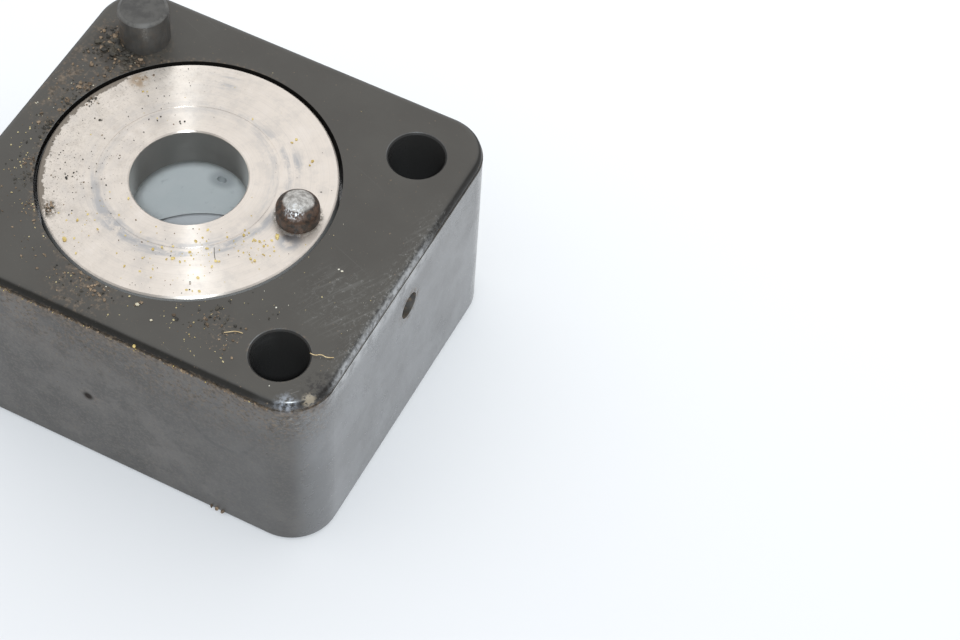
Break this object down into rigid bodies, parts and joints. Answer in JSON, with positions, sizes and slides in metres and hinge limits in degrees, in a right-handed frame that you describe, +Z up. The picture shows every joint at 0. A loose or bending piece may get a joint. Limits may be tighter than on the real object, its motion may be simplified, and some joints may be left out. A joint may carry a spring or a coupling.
{
  "type": "rotary bearing block",
  "caption": "Dark rectangular housing with a flush aluminium drive disc turning on hidden ball bearings, a central bore, an eccentric pin, a corner stud and two bolt holes.",
  "frame": {"origin": "on the disc's axis, in the plane of the housing's top face, at the mouth of the disc's bore", "axes": "+Z up out of the disc along its axis; +X along the housing's length, towards the end with the two bolt holes and the side screw; +Y towards the side with the corner stud"},
  "size_m": [0.0504, 0.0453, 0.0325],
  "materials": {
    "housing": "satin moulded, fine grain",
    "stud": "satin",
    "screw": "black oxide",
    "disc": "turned, satin",
    "pin": "worn, light rust",
    "sleeve": "matt, pale bluish plating",
    "spacer": "turned",
    "spring_steel": "oiled spring steel",
    "bearing_ring": "ground",
    "ball": "polished",
    "cage": "pressed",
    "shield": "pressed"
  },
  "bodies": {
    "housing": {"housing_block": "housing", "corner_stud": "stud", "side_screw": "screw", "outer_spacer": "spacer", "wave_washer": "spring_steel", "housing_snap_ring": "spring_steel", "upper_outer_ring": "bearing_ring", "lower_outer_ring": "bearing_ring", "upper_top_shield": "shield", "upper_bottom_shield": "shield", "lower_top_shield": "shield", "lower_bottom_shield": "shield"},
    "rotor": {"rotor_disc": "disc", "drive_pin": "pin", "bearing_sleeve": "sleeve", "flange_shim": "spacer", "inner_spacer": "spacer", "upper_inner_ring": "bearing_ring", "lower_inner_ring": "bearing_ring", "shaft_snap_ring": "spring_steel"},
    "upper_cage_set": {"upper_cage": "cage", "upper_balls": "ball"},
    "lower_cage_set": {"lower_cage": "cage", "lower_balls": "ball"}
  },
  "joints": [
    {"name": "rotor_spin", "type": "hinge", "parent": "housing", "child": "rotor", "pos_m": [0, 0, 0], "axis": [0, 0, 1], "continuous": true},
    {"name": "upper_cage_spin", "type": "hinge", "parent": "housing", "child": "upper_cage_set", "pos_m": [0, 0, 0], "axis": [0, 0, 1], "continuous": true},
    {"name": "lower_cage_spin", "type": "hinge", "parent": "housing", "child": "lower_cage_set", "pos_m": [0, 0, 0], "axis": [0, 0, 1], "continuous": true}
  ],
  "couplings": [
    {"joint": "upper_cage_spin", "follows": "rotor_spin", "ratio": 0.4701},
    {"joint": "lower_cage_spin", "follows": "rotor_spin", "ratio": 0.4701}
  ]
}
